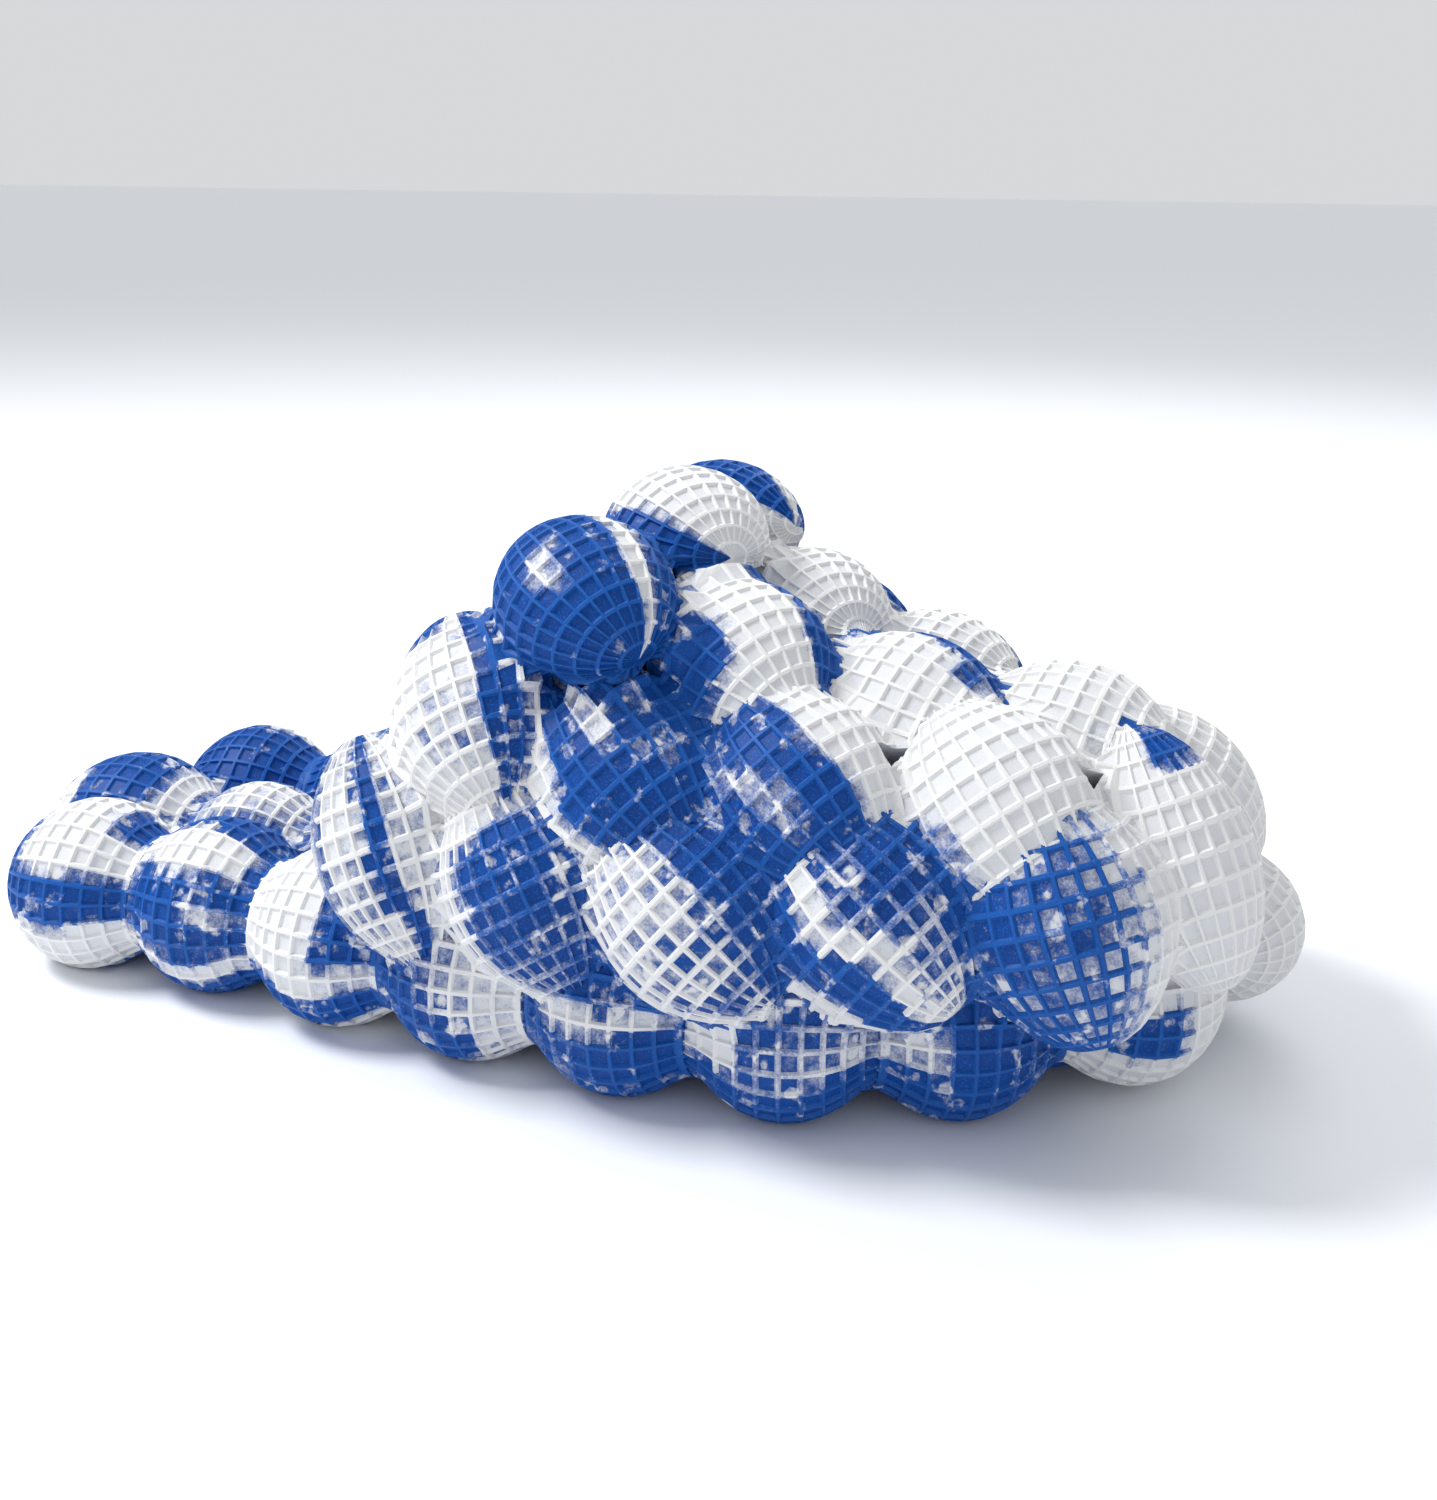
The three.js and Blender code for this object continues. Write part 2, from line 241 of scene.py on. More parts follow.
# Marbling of each bubble. Degrees run round its long axis from the outward side down towards the sole.
PAINT = {
    "outer": [
        marbling(
            0.34, band(36, 60, 0.8), band(-38, -12, BLUE), band(-62, -42, 0.4), band(-200, -66, 0.85),
            band(-12, 36, 0.5, -0.1, 0.9), net=-0.5
        ),
        marbling(0.85, band(-200, 200, 0.2, front=-0.6), band(34, 100, 0.55), net=-0.5),
        marbling(
            0.66, band(-120, -28, BLUE), band(40, 62, 0.48), band(62, 200, BLUE),
            band(-10, 30, 0.58, -0.3, 0.6), net=-0.6
        ),
        marbling(
            0.62, band(14, 52, BLUE), band(0, 14, WHITE), band(-200, -50, BLUE), band(56, 200, 0.2), net=-0.5
        ),
        marbling(
            WHITE, band(-30, 110, 0.6), band(-56, -30, 0.3), band(20, 62, 0.85, -0.5, 0.3),
            band(-20, 10, 0.5, 0.2), net=0.5
        ),
    ],
    "outer_wall": [
        marbling(
            0.08, band(-78, -14, BLUE), band(-52, -44, 0.3), band(-10, 40, 0.45, 0.0, 0.8),
            band(0, 60, BLUE, front=-0.7), net=-0.4
        ),
        marbling(
            0.9, band(40, 80, 0.08, rear=-0.7), band(-12, 4, 0.3, -0.9, -0.2), band(-40, -30, 0.4, -0.6, 0.4),
            net=-0.15
        ),
        marbling(0.9, band(-200, -24, WHITE), band(15, 40, 0.55, -0.6, 0.5)),
        marbling(WHITE, band(30, 80, 0.6, -0.2, 0.6)),
        marbling(WHITE, band(-60, 20, 0.9, front=-0.75), band(-200, -72, 0.45)),
    ],
    "outer_instep": [
        marbling(0.93, band(-54, -32, WHITE), band(12, 30, 0.3, -0.2, 0.35)),
        marbling(WHITE, band(-200, -46, BLUE), band(22, 84, 0.92, -0.7, 0.6)),
        marbling(WHITE, band(-200, -40, BLUE), band(-40, -8, 0.8, 0.3, 0.8)),
        marbling(WHITE, band(10, 60, 0.3, 0.2)),
        marbling(WHITE, band(-200, -62, 0.35)),
    ],
    "crest": [
        marbling(WHITE, band(50, 120, BLUE, rear=-0.6)),
        marbling(WHITE),
        marbling(WHITE, band(-44, -12, BLUE)),
        marbling(WHITE),
        marbling(0.1),
    ],
    "inner_instep": [
        marbling(0.1, band(5, 60, BLUE), band(-90, -30, 0.9)),
        marbling(0.3, band(20, 60, BLUE)),
        marbling(0.1, band(-60, -20, 0.8)),
        marbling(0.2),
    ],
    "inner_wall": [
        marbling(0.15, band(-30, 10, BLUE), net=-0.4),
        marbling(0.7, band(20, 60, WHITE), net=-0.4),
        marbling(0.3, band(-70, -10, 0.9), net=-0.4),
    ],
    "inner": [
        marbling(0.6, band(-20, 20, WHITE), net=-0.4),
        marbling(0.3, band(30, 80, BLUE), net=-0.4),
    ],
    "toe_front": [marbling(WHITE), marbling(WHITE, band(-60, 0, 0.3))],
    "rim_outer": [
        marbling(
            0.9, band(-90, 68, WHITE, rear=-0.6), band(105, 160, WHITE), band(-30, 30, BLUE, rear=0.4)
        ),
        marbling(
            0.93, band(-200, 200, 0.1, front=-0.75), band(14, 42, 0.08, -0.7, 0.7),
            band(60, 72, 0.3, 0.0, 0.8), band(110, 125, 0.08),
        ),
        marbling(0.08, band(-20, 85, 0.9, rear=0.15), band(112, 150, BLUE), net=-0.1),
        marbling(0.65, band(-20, 150, BLUE, front=-0.3), band(96, 150, BLUE, front=0.4), net=-0.5),
        marbling(0.92, band(72, 86, 0.15, -0.5, 0.8), net=-0.2),
        marbling(0.85, band(50, 100, 0.12, -0.9, -0.4), band(105, 160, BLUE), net=-0.4),
        marbling(0.93, band(60, 95, 0.4, -0.9, -0.3), net=-0.2),
    ],
    "toe": [
        marbling(WHITE, band(80, 110, BLUE, front=0.1), band(20, 80, 0.6, front=-0.5), net=0.4),
        marbling(WHITE),
        marbling(0.15),
    ],
    "rim_inner": [
        marbling(0.9, band(-70, -20, WHITE), band(-125, -100, WHITE)),
        marbling(0.92, band(-60, -30, 0.1, -0.6, 0.6)),
        marbling(0.9, band(-90, -60, 0.2, -0.9, 0.1)),
        marbling(0.7, band(-120, -80, 0.15), net=-0.4),
        marbling(0.85, band(-80, -50, 0.2, -0.4, 0.8)),
        marbling(0.4, band(-110, -70, BLUE), net=-0.4),
        marbling(0.2, band(-100, -60, 0.8, front=0.0)),
    ],
    "footbed": [
        marbling(0.92, band(-200, 200, WHITE, 0.55, 0.8), band(20, 60, 0.1, -0.9, -0.4)),
        marbling(0.82, band(-30, 25, 0.4, -0.3, 0.7), net=-0.4),
        marbling(0.86, band(-5, 30, 0.35, -0.6, 0.5), net=-0.5),
        marbling(0.88, band(-35, 5, 0.45, -0.2, 0.8), net=-0.5),
    ],
}
FOOTBED_PAINT = marbling(0.86, net=-0.15)


def paint_of(row, i):
    """The bubble's own marbling; the footbed bubbles under the vamp share one."""
    return PAINT[row][i] if i < len(PAINT[row]) else FOOTBED_PAINT


# ---------------------------------------------------------------- bubbles


def line_samples(cells, closed):
    """Places of the edge loops, in cells, and how high the raised line stands at each: 1 top, 0 floor."""
    places, heights = [], []
    for k in range(cells if closed else cells + 1):
        for offset, height in ((-LINE_FOOT, 0), (-LINE_TOP, 1), (LINE_TOP, 1), (LINE_FOOT, 0)):
            if closed or 0 < k + offset < cells:
                places.append(k + offset)
                heights.append(height)
    return np.array(places), np.array(heights)


def egg_frame(centre, along, outward, half):
    """Centre, axes as rows (across, along, up) and half sizes of a bubble."""
    along = along.normalized()
    up = (outward - along * outward.dot(along)).normalized()
    return np.array(centre), np.array([along.cross(up), along, up]), half


def surface(places, bubble):
    """How far places lie outside a bubble, in mm and roughly, and the directions straight out of it."""
    centre, axes, half = bubble
    local = (places - centre) @ axes.T
    local[:, 1] /= 1 + DRAWN_OUT * np.minimum(abs(local[:, 1] / half["along"]), 1) ** 4
    size = np.tile([half["across"], half["along"], half["down"]], (len(places), 1))
    size[local[:, 2] > 0, 2] = half["up"]
    near = np.linalg.norm(local / size, axis=1)
    slope = local / size**2
    steep = np.maximum(np.linalg.norm(slope, axis=1), 1e-6)
    return near * (near - 1) / steep, (slope / steep[:, None]) @ axes


def swell(places, own, others):
    """The outward shift of a bubble's skin at places that rounds the valleys to its neighbours.

    The valley is an arc of CREASE_RADIUS that touches both skins. facing is the cosine between the two ways
    out, start is the gap to the neighbour at which the arc begins, and run is how far past that beginning a
    place lies. Past the knee the skin goes on straight, and inside the neighbour it sinks back.
    """
    _, normals = surface(places, own)
    rise = np.zeros(len(places))
    for other in others:
        if np.allclose(other[0], own[0]):
            continue
        gap, outward = surface(places, other)
        facing = np.clip((normals * outward).sum(1), -0.8, 0.98)
        wide, narrow = np.sqrt((1 - facing) / 2), np.sqrt((1 + facing) / 2)
        start = CREASE_RADIUS * (1 - facing)
        run = CREASE_RADIUS * wide / narrow * np.clip(1 - gap / start, 0, 1)
        knee = CREASE_SHARE * CREASE_RADIUS * wide
        arc = np.minimum(run, knee)
        fillet = CREASE_RADIUS - np.sqrt(CREASE_RADIUS**2 - arc**2)
        fillet += (run - arc) * knee / np.sqrt(CREASE_RADIUS**2 - knee**2)
        fillet = np.minimum(fillet, CREASE_CAP * CREASE_RADIUS * (1 - narrow))
        rise = np.maximum(rise, fillet * np.clip(1 + gap / start, 0, 1))
    return normals * rise[:, None]


def egg(own, paint, others):
    """One bubble with its raised lines, as a dictionary of its vertices in mm, faces and shares of blue."""
    centre, axes, half = own
    rounds, round_line = line_samples(MERIDIANS, True)
    bands, band_line = line_samples(PARALLELS, False)
    phi = rounds / MERIDIANS * 2 * math.pi
    theta = (bands / PARALLELS - 0.5) * math.pi
    fade = np.clip((np.pi / 2 - abs(theta)) / 0.35, 0, 1)
    height = np.maximum(round_line[None, :] * fade[:, None], (band_line * fade)[:, None])
    direction = np.stack([
        np.cos(theta)[:, None] * np.sin(phi)[None, :],
        np.repeat(np.sin(theta)[:, None], len(phi), 1),
        np.cos(theta)[:, None] * np.cos(phi)[None, :],
    ], 2)
    t = direction[:, :, 1]
    shape = np.stack([
        direction[:, :, 0] * half["across"],
        (t + DRAWN_OUT * t**5) * half["along"],
        direction[:, :, 2] * np.where(direction[:, :, 2] > 0, half["up"], half["down"]),
    ], 2)
    shape += direction * (height * LINE_HEIGHT)[:, :, None]
    tip = (1 + DRAWN_OUT) * half["along"]
    local = np.vstack([shape.reshape(-1, 3), [(0, -tip, 0), (0, tip, 0)]])
    vertices = local @ axes + centre
    vertices += swell(vertices, own, others)

    degrees = (np.degrees(phi) + 180) % 360 - 180
    flow = [
        marble_value(paint, Vector(vertices[j * len(phi) + i]), degrees[i], math.sin(theta[j]))
        for j in range(len(theta)) for i in range(len(phi))
    ]
    flow += [flow[0], flow[-1]]

    columns = len(phi)
    last = len(theta) - 1
    faces, kind = [], []
    for j in range(last):
        for i in range(columns):
            n = (i + 1) % columns
            faces.append((j * columns + i, j * columns + n, (j + 1) * columns + n, (j + 1) * columns + i))
            kind.append(not (i % 4 == 3 and j % 4 == 1))  # four loops to a cell; only its floor is no line
    for i in range(columns):
        n = (i + 1) % columns
        faces.append((len(local) - 2, n, i))
        faces.append((len(local) - 1, last * columns + i, last * columns + n))
        kind += [True, True]
    places = [Vector(vertices[face[-1]]) for face in faces]
    cells = cell_values(paint[1], flow, faces, kind, places)
    return {"vertices": vertices, "faces": faces, "flow": flow, "cells": cells, "lines": kind}


# ---------------------------------------------------------------- meshes and joins


def mesh_object(name, vertices, faces):
    mesh = bpy.data.meshes.new(name)
    mesh.from_pydata([tuple(v) for v in np.array(vertices) * MM], [], faces)
    mesh.update()
    obj = bpy.data.objects.new(name, mesh)
    bpy.context.scene.collection.objects.link(obj)
    return obj


def cut_or_join(obj, others, operation):
    """Joins obj with each of the others, cuts them from it, or keeps what lies in them."""
    for other in others:
        step = obj.modifiers.new("join", "BOOLEAN")
        step.operation = operation
        step.solver = "MANIFOLD"
        step.object = other
    graph = bpy.context.evaluated_depsgraph_get()
    mesh = bpy.data.meshes.new_from_object(obj.evaluated_get(graph))
    obj.modifiers.clear()
    obj.data = mesh
    return obj


def discard(objects):
    for obj in objects:
        bpy.data.objects.remove(obj)


def block(low, high):
    x, y, z = ((a, b) for a, b in zip(low, high))
    vertices = [(x[i], y[j], z[k]) for i in (0, 1) for j in (0, 1) for k in (0, 1)]
    faces = [(0, 1, 3, 2), (4, 6, 7, 5), (0, 4, 5, 1), (2, 3, 7, 6), (0, 2, 6, 4), (1, 5, 7, 3)]
    return mesh_object("block", vertices, faces)


def outer_skin(obj):
    """Drops closed pockets that the joins left inside."""
    mesh = obj.data
    edges = np.zeros(len(mesh.edges) * 2, np.int64)
    mesh.edges.foreach_get("vertices", edges)
    edges = edges.reshape(-1, 2)
    label = np.arange(len(mesh.vertices))
    while True:
        low = np.minimum(label[edges[:, 0]], label[edges[:, 1]])
        new = label.copy()
        np.minimum.at(new, edges[:, 0], low)
        np.minimum.at(new, edges[:, 1], low)
        new = new[new]
        if (new == label).all():
            break
        label = new
    largest = np.bincount(label).argmax()
    doomed = np.nonzero(label != largest)[0]
    if len(doomed):
        bm = bmesh.new()
        bm.from_mesh(mesh)
        bm.verts.ensure_lookup_table()
        bmesh.ops.delete(bm, geom=[bm.verts[int(i)] for i in doomed], context="VERTS")
        bm.to_mesh(mesh)
        bm.free()
    return obj


def bake_blue(obj, sources):
    """Gives each face and vertex of the joined skin the blue share of the bubble it came from."""
    vertices, faces, cells, lines, flow = [], [], [], [], []
    for source in sources:
        start = len(vertices)
        vertices += [Vector(p) for p in np.array(source["vertices"]) * MM]
        faces += [tuple(i + start for i in face) for face in source["faces"]]
        cells += list(source["cells"])
        lines += [float(k) for k in source["lines"]]
        flow += list(source["flow"])
    tree = BVHTree.FromPolygons(vertices, faces)
    corners = KDTree(len(vertices))
    for i, vertex in enumerate(vertices):
        corners.insert(vertex, i)
    corners.balance()
    mesh = obj.data
    nearest = [tree.find_nearest(polygon.center)[2] for polygon in mesh.polygons]
    for name, values in (("cell_blue", cells), ("line", lines)):
        attribute = mesh.attributes.new(name, "FLOAT", "FACE")
        attribute.data.foreach_set("value", [values[i] for i in nearest])
    attribute = mesh.attributes.new("flow_blue", "FLOAT", "POINT")
    attribute.data.foreach_set("value", [flow[corners.find(vertex.co)[1]] for vertex in mesh.vertices])
    mesh.polygons.foreach_set("use_smooth", [True] * len(mesh.polygons))
    mesh.set_sharp_from_angle(angle=math.radians(SHARP_ANGLE))
    mesh.update()


# ---------------------------------------------------------------- sole


def level_heading(turn):
    return Vector((math.cos(math.radians(turn)), math.sin(math.radians(turn)), 0))


def sole_bubbles():
    """(row, index, frame) of every bubble of the sole."""
    rows = []

    def add(row, i, centre, heading, half):
        rows.append((row, i, egg_frame(Vector(centre), heading, Vector((0, 0, 1)), half)))

    for i, outer_x in enumerate(SOLE_STATIONS):
        sides = (("rim_outer", OUTER_OUTLINE, outer_x), ("rim_inner", INNER_OUTLINE, outer_x + INNER_SHIFT))
        for row, outline, x in sides:
            heading = Vector((12, station(outline, x + 6) - station(outline, x - 6), 0))
            add(row, i, (x, station(outline, x), SOLE_Z), heading, SOLE_HALF)
    for i, (x, y, z, turn, height) in enumerate(TOE_RIM):
        add("toe", i, (x, y, z), level_heading(turn), dict(SOLE_HALF, up=height, down=height))
    for i, x in enumerate(FOOTBED_STATIONS):
        inner, outer = station(INNER_OUTLINE, x), station(OUTER_OUTLINE, x)
        z = SOLE_Z - (FOOTBED_DROP if i > 0 else 0)
        half = dict(SOLE_HALF, across=max(SOLE_HALF["across"], (inner - outer) / 2 - 17))
        add("footbed", i, (x, (inner + outer) / 2, z), level_heading(0), half if i > 0 else HEEL_HALF)
    return rows


def soft_max(a, b, blend):
    """The greater of two heights, rounded off where they come within blend of each other."""
    share = max(blend - abs(a - b), 0) / blend
    return max(a, b) + share * share * blend / 4


def footbed_height(x, y, bumps):
    """Height of the foam between the bubbles: a little under their tops, and soft in the valleys."""
    height = SLAB_TOP
    for _, _, (centre, _, half) in bumps:
        r2 = ((x - centre[0]) / half["along"]) ** 2 + ((y - centre[1]) / half["across"]) ** 2
        if r2 < 2.2:
            dome = math.sqrt(1 - r2) if r2 < 0.9 else 0.316 - 1.6 * (r2 - 0.9)
            height = soft_max(height, centre[2] - SLAB_UNDER + half["up"] * dome, SLAB_SOFTNESS)
    return height


def footbed_slab():
    """The foam that the sole bubbles grow out of: a slab between the rims, crossed by raised lines."""
    bumps = sole_bubbles()
    cell = 5.7
    first, last = SEAM - 6 * cell, 118
    along = int((last - first) / cell)
    across = 14
    xs, x_line = line_samples(along, False)
    ys, y_line = line_samples(across, False)
    xs, x_line = np.append(np.insert(xs, 0, 0), along), np.append(np.insert(x_line, 0, 0), 0)
    ys, y_line = np.append(np.insert(ys, 0, 0), across), np.append(np.insert(y_line, 0, 0), 0)
    vertices, faces, kind, places = [], [], [], []
    for a, on_x in zip(xs, x_line):
        x = first + a * cell
        low, high = station(OUTER_OUTLINE, x) - 1, station(INNER_OUTLINE, x) + 1
        for b, on_y in zip(ys, y_line):
            y = low + (high - low) * b / across
            vertices.append((x, y, footbed_height(x, y, bumps) + LINE_HEIGHT * max(on_x, on_y)))
    rows, columns = len(xs), len(ys)
    for j in range(rows - 1):
        for i in range(columns - 1):
            a = j * columns + i
            faces.append((a, a + columns, a + columns + 1, a + 1))
            kind.append(not (x_line[j] == 0 and x_line[j + 1] == 0 and y_line[i] == 0 and y_line[i + 1] == 0))
            places.append(Vector(vertices[a]))
    ring = list(range(columns))
    ring += [j * columns + columns - 1 for j in range(1, rows)]
    ring += [(rows - 1) * columns + i for i in range(columns - 2, -1, -1)]
    ring += [j * columns for j in range(rows - 2, 0, -1)]
    start = len(vertices)
    vertices += [(vertices[i][0], vertices[i][1], 5.0) for i in ring]
    count = len(ring)
    for k in range(count):
        n = (k + 1) % count
        faces.append((ring[k], ring[n], start + n, start + k))
    faces.append(tuple(start + k for k in range(count)))
    kind += [False] * (count + 1)
    places += [Vector(vertices[face[0]]) for face in faces[len(places):]]
    flow = [marble_value(FOOTBED_PAINT, Vector(v), 0, 0) for v in vertices]
    cells = cell_values(FOOTBED_PAINT[1], flow, faces, kind, places)
    return {"vertices": vertices, "faces": faces, "flow": flow, "cells": cells, "lines": kind}


def build_sole(others):
    sources = [egg(own, paint_of(row, i), others) for row, i, own in sole_bubbles()]
    objects = [mesh_object("bubble", part["vertices"], part["faces"]) for part in sources]
    slab = footbed_slab()
    sources.append(slab)
    sole = mesh_object("sole", slab["vertices"], slab["faces"])
    cut_or_join(sole, objects, "UNION")
    discard(objects)
    ground = block((-220, -120, -60), (220, 120, 0))
    cut_or_join(sole, [ground], "DIFFERENCE")
    discard([ground])
    outer_skin(sole)
    return sole, sources


# ---------------------------------------------------------------- vamp


def web():
    """The foam that joins the vamp bubbles: a shell through the rows, carried down to the rim."""
    steps = 10
    lines = []
    for row, centres in CENTRES.items():
        lines.append(spaced(centres, steps) + [Vector(APRON[row])])
    rows, columns = len(lines), steps + 1
    points = [p + vamp_outward(p) * side for side in (WEB_HALF, -WEB_HALF) for line in lines for p in line]
    layer = rows * columns
    faces = []
    for j in range(rows - 1):
        for i in range(columns - 1):
            a = j * columns + i
            faces.append((a, a + 1, a + columns + 1, a + columns))
            faces.append((layer + a, layer + a + columns, layer + a + columns + 1, layer + a + 1))
        rear, front = j * columns, j * columns + columns - 1
        faces.append((rear, rear + columns, layer + rear + columns, layer + rear))
        faces.append((front, layer + front, layer + front + columns, front + columns))
    for i in range(columns - 1):
        faces.append((i, layer + i, layer + i + 1, i + 1))
        a = (rows - 1) * columns + i
        faces.append((a, a + 1, layer + a + 1, layer + a))
    plain_share = 0.5
    return {
        "vertices": points, "faces": faces, "flow": [plain_share] * len(points),
        "cells": [plain_share] * len(faces), "lines": [False] * len(faces),
    }


def vent(trio):
    """A three-cornered hole through the web, its corners running into the creases round it."""
    around = [CENTRES[row][i] for row, i in trio]
    centre = sum(around, Vector()) / 3
    outward = vamp_outward(centre)
    crease = (around[0] + around[1]) / 2 - centre
    crease = (crease - outward * crease.dot(outward)).normalized()
    side = outward.cross(crease)
    vertices = []
    for reach in (-22, 22):
        for k in range(3):
            turn = k * 2 * math.pi / 3
            corner = crease * math.cos(turn) + side * math.sin(turn)
            vertices.append(centre + outward * reach + corner * VENT_RADIUS)
    faces = [(2, 1, 0), (3, 4, 5)] + [(k, (k + 1) % 3, (k + 1) % 3 + 3, k + 3) for k in range(3)]
    return mesh_object("vent", vertices, faces)


def vamp_half(row, along, across):
    depth = OUTER_DEPTH if row == "outer" else VAMP_DEPTH
    return {"along": along, "across": across, "up": VAMP_UP, "down": depth}


def vamp_bubbles():
    """(row, index, frame) of every bubble of the vamp."""
    rows = []
    for row, centres in CENTRES.items():
        for i, centre in enumerate(centres):
            half = vamp_half(row, *VAMP_ROWS[row][i][4:])
            rows.append((row, i, egg_frame(centre, vamp_forward(row, i), vamp_outward(centre), half)))
    for i, (x, y, z, turn) in enumerate(TOE_FRONT):
        half = vamp_half("toe_front", 18.5, 17)
        own = egg_frame(Vector((x, y, z)), level_heading(turn), Vector((1, 0, 0.4)), half)
        rows.append(("toe_front", i, own))
    return rows


def build_vamp(sole, others):
    sources = [egg(own, paint_of(row, i), others) for row, i, own in vamp_bubbles()]
    objects = [mesh_object("bubble", part["vertices"], part["faces"]) for part in sources]
    shell = web()
    sources.append(shell)
    vamp = mesh_object("vamp", shell["vertices"], shell["faces"])
    cut_or_join(vamp, objects, "UNION")
    discard(objects)
    vents = [vent(trio) for trio in VENTS]
    cut_or_join(vamp, [sole] + vents, "DIFFERENCE")
    discard(vents)
    outer_skin(vamp)
    return vamp, sources


# ---------------------------------------------------------------- foam


def foam_material(name, blue_and_line_highlight, white_and_floor_shade):
    """Satin EVA foam: two colours marbled cell by cell, with grain, streaks and a fine skin; the raised lines
    of blue carry a painted highlight and the cell floors of white a painted shade.
    """
    material = bpy.data.materials.new(name)
    material.use_nodes = True
    nodes, links = material.node_tree.nodes, material.node_tree.links
    nodes.clear()

    def node(kind, **values):
        made = nodes.new(kind)
        for key, value in values.items():
            setattr(made, key, value)
        return made

    out = node("ShaderNodeOutputMaterial")
    skin = node("ShaderNodeBsdfPrincipled")
    links.new(skin.outputs["BSDF"], out.inputs["Surface"])
    coords = node("ShaderNodeTexCoord")
    cell_blue = node("ShaderNodeAttribute", attribute_name="cell_blue")
    flow_blue = node("ShaderNodeAttribute", attribute_name="flow_blue")
    line = node("ShaderNodeAttribute", attribute_name="line")

    def texture(scale, detail):
        made = node("ShaderNodeTexNoise")
        made.inputs["Scale"].default_value = scale
        made.inputs["Detail"].default_value = detail
        links.new(coords.outputs["Object"], made.inputs["Vector"])
        return made

    def ramp(source, low, high):
        made = node("ShaderNodeMapRange")
        made.interpolation_type = "SMOOTHSTEP"
        made.inputs["From Min"].default_value = low
        made.inputs["From Max"].default_value = high
        links.new(source, made.inputs["Value"])
        return made

    def math_node(operation, a, b):
        made = node("ShaderNodeMath", operation=operation)
        for slot, value in ((0, a), (1, b)):
            if isinstance(value, (int, float)):
                made.inputs[slot].default_value = value
            else:
                links.new(value, made.inputs[slot])
        return made.outputs[0]

    def mix(factor, a, b):
        made = node("ShaderNodeMix", data_type="RGBA")
        links.new(factor, made.inputs[0])
        for slot, value in ((6, a), (7, b)):
            if isinstance(value, tuple):
                made.inputs[slot].default_value = (*value, 1)
            else:
                links.new(value, made.inputs[slot])
        return made.outputs[2]

    streaks = texture(520, 3)
    wisps = texture(210, 4)
    grain = texture(2600, 2)
    clouds = texture(60, 2)
    share = math_node(
        "ADD", math_node("MULTIPLY", cell_blue.outputs["Fac"], 0.75),
        math_node("MULTIPLY", flow_blue.outputs["Fac"], 0.25),
    )
    smear = math_node("MULTIPLY", ramp(wisps.outputs["Fac"], 0.56, 0.66).outputs["Result"], -0.35)
    share = math_node("ADD", share, smear)
    broken = math_node("ADD", share, math_node("MULTIPLY", streaks.outputs["Fac"], 0.6))
    broken = math_node("ADD", broken, math_node("MULTIPLY", grain.outputs["Fac"], 0.4))
    mask = ramp(math_node("SUBTRACT", broken, 0.5), 0.22, 0.78).outputs["Result"]
    # deep and light are the blue's own tones; the third is a paler blue, a painted highlight for the raised
    # lines
    deep, light, line_highlight = blue_and_line_highlight
    blue = mix(clouds.outputs["Fac"], deep, light)
    blue = mix(ramp(grain.outputs["Fac"], 0.5, 0.7).outputs["Result"], blue, tuple(c * 1.3 for c in light))
    # Painted highlight: the raised lines are lightened towards the paler blue, standing in for light on their
    # tops
    blue = mix(math_node("MULTIPLY", line.outputs["Fac"], 0.4), blue, line_highlight)
    # Painted shade: the cell floors between the raised lines get a darker grey than the white lines, as if in
    # shadow
    white, painted_floor_shade = white_and_floor_shade
    pale_with_painted_shade = mix(line.outputs["Fac"], painted_floor_shade, white)
    links.new(mix(mask, pale_with_painted_shade, blue), skin.inputs["Base Color"])
    rough = node("ShaderNodeMapRange")
    rough.inputs["To Min"].default_value = 0.42
    rough.inputs["To Max"].default_value = 0.62
    links.new(grain.outputs["Fac"], rough.inputs["Value"])
    links.new(rough.outputs["Result"], skin.inputs["Roughness"])
    skin.inputs["Specular IOR Level"].default_value = 0.22
    bump = node("ShaderNodeBump")
    bump.inputs["Strength"].default_value = 0.25
    bump.inputs["Distance"].default_value = 0.0003
    links.new(grain.outputs["Fac"], bump.inputs["Height"])
    links.new(bump.outputs["Normal"], skin.inputs["Normal"])
    return material


# ---------------------------------------------------------------- assembly


def share_of(obj, name, low_x, high_x):
    """A piece of obj between two planes across the shoe."""
    piece = bpy.data.objects.new(name, obj.data.copy())
    bpy.context.scene.collection.objects.link(piece)
    zone = block((low_x, -150, -50), (high_x, 150, 150))
    cut_or_join(piece, [zone], "INTERSECT")
    discard([zone])
    return piece


every_bubble = [own for _, _, own in sole_bubbles() + vamp_bubbles()]
sole, sole_sources = build_sole(every_bubble)
vamp, vamp_sources = build_vamp(sole, every_bubble)
sole_front = share_of(sole, "sole_front", SEAM, 250)
sole_rear = share_of(sole, "sole_rear", -250, SEAM)
discard([sole])

bake_blue(sole_front, sole_sources)
bake_blue(sole_rear, sole_sources)
bake_blue(vamp, vamp_sources)

# Blue: deep and light tones of the foam, then the painted highlight colour of the raised lines
BLUE_AND_LINE_HIGHLIGHT = ((0.0, 0.026, 0.17), (0.0, 0.075, 0.36), (0.02, 0.14, 0.50))
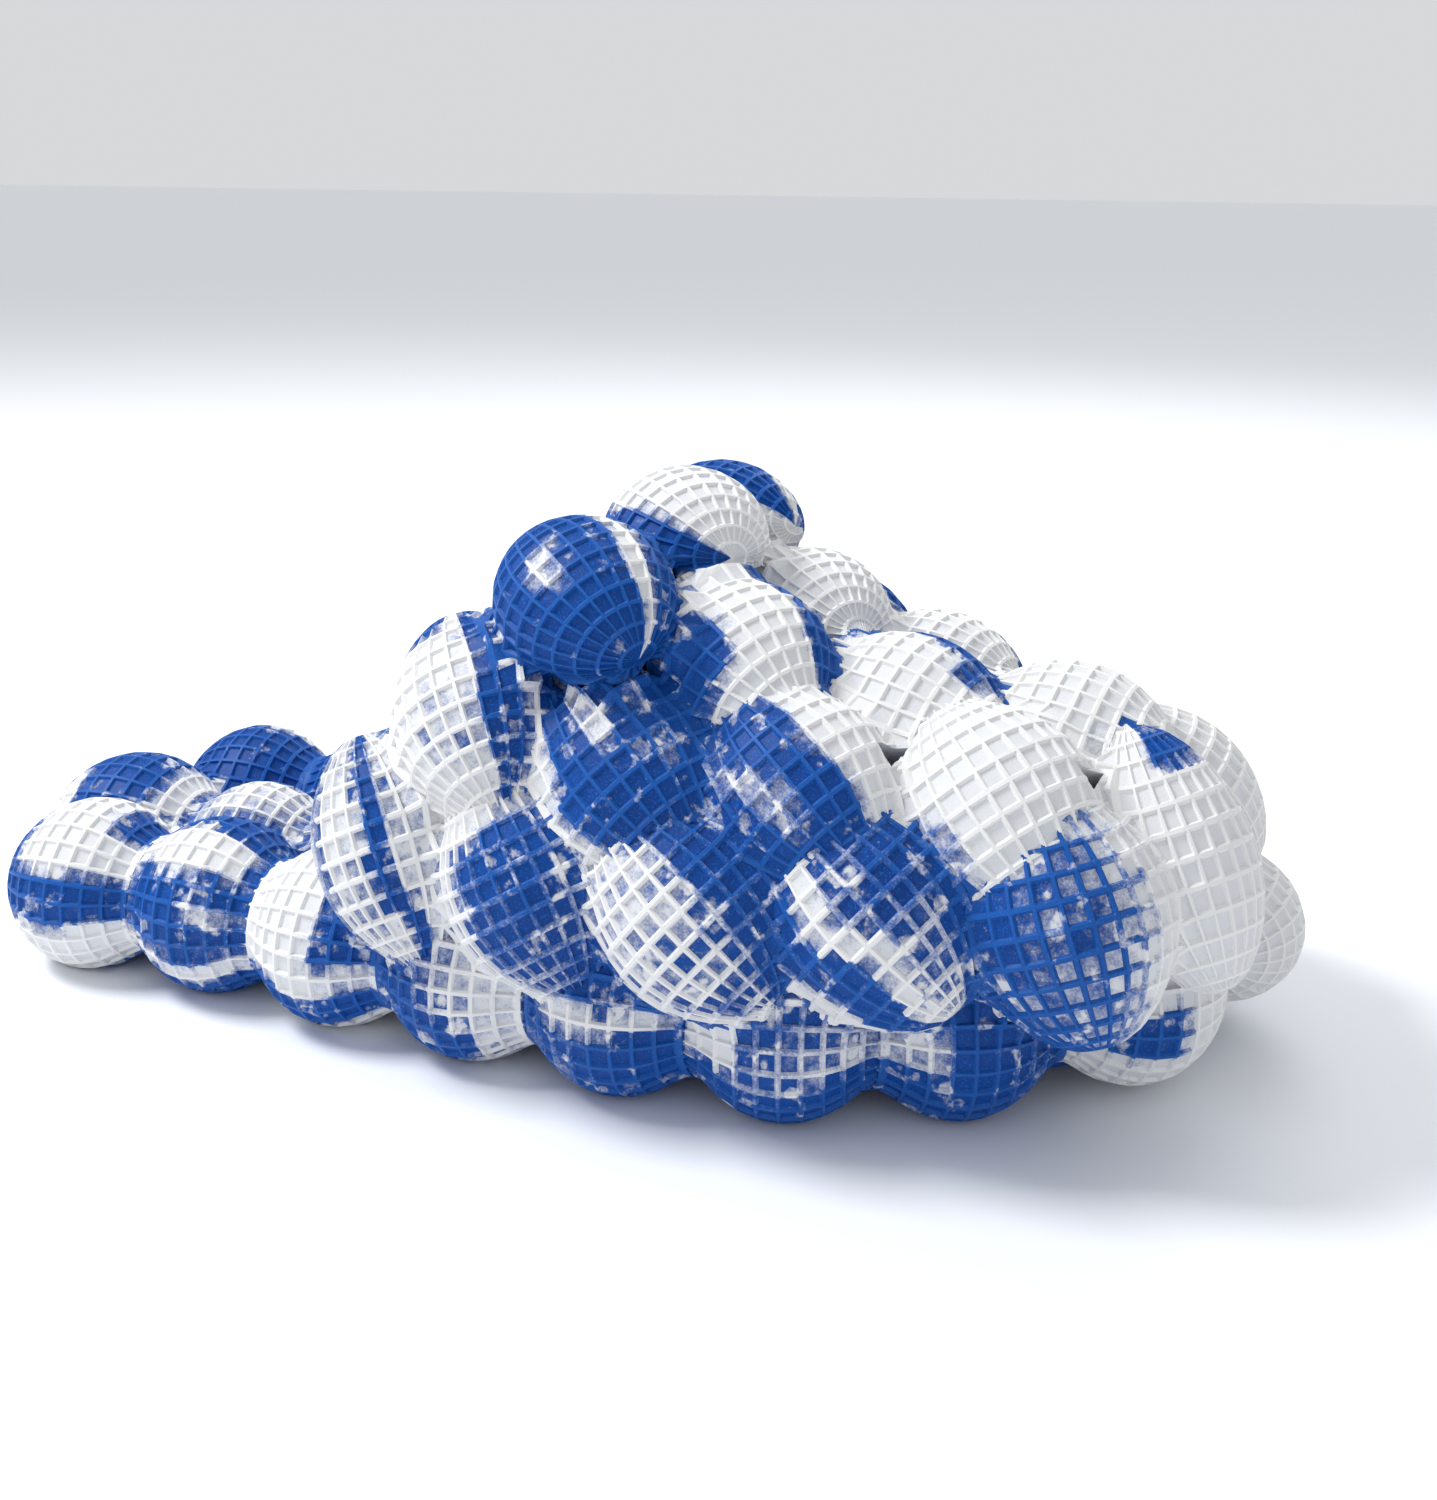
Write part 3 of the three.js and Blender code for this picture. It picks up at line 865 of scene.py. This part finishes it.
# White of the foam, then the darker grey of the painted shade in the cell floors
WHITE_AND_FLOOR_SHADE = ((0.80, 0.80, 0.80), (0.70, 0.715, 0.74))
sole_foam = foam_material("sole_foam", BLUE_AND_LINE_HIGHLIGHT, WHITE_AND_FLOOR_SHADE)
vamp_foam = foam_material("vamp_foam", BLUE_AND_LINE_HIGHLIGHT, WHITE_AND_FLOOR_SHADE)
for piece, foam, slot in (
    (sole_front, sole_foam, "sole_foam"),
    (sole_rear, sole_foam, "sole_foam"),
    (vamp, vamp_foam, "vamp_foam"),
):
    piece.data.materials.clear()
    piece.data.materials.append(foam)
vamp.name = "vamp_skin"


def at(x, y, z):
    return Vector((x, y, z)) * MM


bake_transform(sole_front)
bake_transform(sole_rear)
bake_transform(vamp)
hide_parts("forefoot_sole", "heel_front_sole")
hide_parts("heel_front_sole", "heel_end_sole")
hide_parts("vamp")

# ---------------------------------------------------------------- stage


def plain_material(name, colour, roughness):
    material = bpy.data.materials.new(name)
    material.use_nodes = True
    skin = material.node_tree.nodes["Principled BSDF"]
    skin.inputs["Base Color"].default_value = (*colour, 1)
    skin.inputs["Roughness"].default_value = roughness
    return material


def build_stage():
    reach = 60.0
    mesh = bpy.data.meshes.new("floor")
    corners = [(-reach, -reach, 0), (reach, -reach, 0), (reach, reach, 0), (-reach, reach, 0)]
    mesh.from_pydata(corners, [], [(0, 1, 2, 3)])
    floor = bpy.data.objects.new("floor", mesh)
    bpy.context.scene.collection.objects.link(floor)
    mesh.materials.append(plain_material("floor", (0.90, 0.92, 0.96), 0.7))


def area_light(name, place, size, power):
    data = bpy.data.lights.new(name, "AREA")
    data.energy = power
    data.size = size
    light = bpy.data.objects.new(name, data)
    light.location = place
    light.rotation_euler = (Vector((0, 0, 0.04)) - Vector(place)).to_track_quat("-Z", "Y").to_euler()
    bpy.context.scene.collection.objects.link(light)


def build_lights():
    world = bpy.data.worlds.new("studio")
    world.use_nodes = True
    world.node_tree.nodes["Background"].inputs["Color"].default_value = (0.97, 0.985, 1.0, 1)
    world.node_tree.nodes["Background"].inputs["Strength"].default_value = 0.7
    bpy.context.scene.world = world
    area_light("key", (-0.7, -0.15, 0.9), 0.35, 11)
    area_light("back", (0.1, 0.9, 0.8), 0.6, 3)


def build_camera():
    """The camera stands in front of the outer side, a little ahead of the middle and above the shoe."""
    data = bpy.data.cameras.new("camera")
    data.sensor_fit = "HORIZONTAL"
    data.sensor_width = 36
    data.lens = 43.2
    data.shift_y = -0.22
    data.clip_start = 0.01
    camera = bpy.data.objects.new("camera", data)
    turn, rise, roll = math.radians(18.58), math.radians(8.03), math.radians(0.78)
    back = Vector((math.sin(turn) * math.cos(rise), -math.cos(turn) * math.cos(rise), math.sin(rise)))
    level = Vector((math.cos(turn), math.sin(turn), 0))
    upward = back.cross(level)
    right = level * math.cos(roll) + upward * math.sin(roll)
    top = upward * math.cos(roll) - level * math.sin(roll)
    place = Matrix.Translation(at(134.8, -323.4, 166.1))
    camera.matrix_world = place @ Matrix((right, top, back)).transposed().to_4x4()
    bpy.context.scene.collection.objects.link(camera)
    bpy.context.scene.camera = camera


build_stage()
build_lights()
build_camera()
bpy.context.scene.view_settings.view_transform = "Standard"
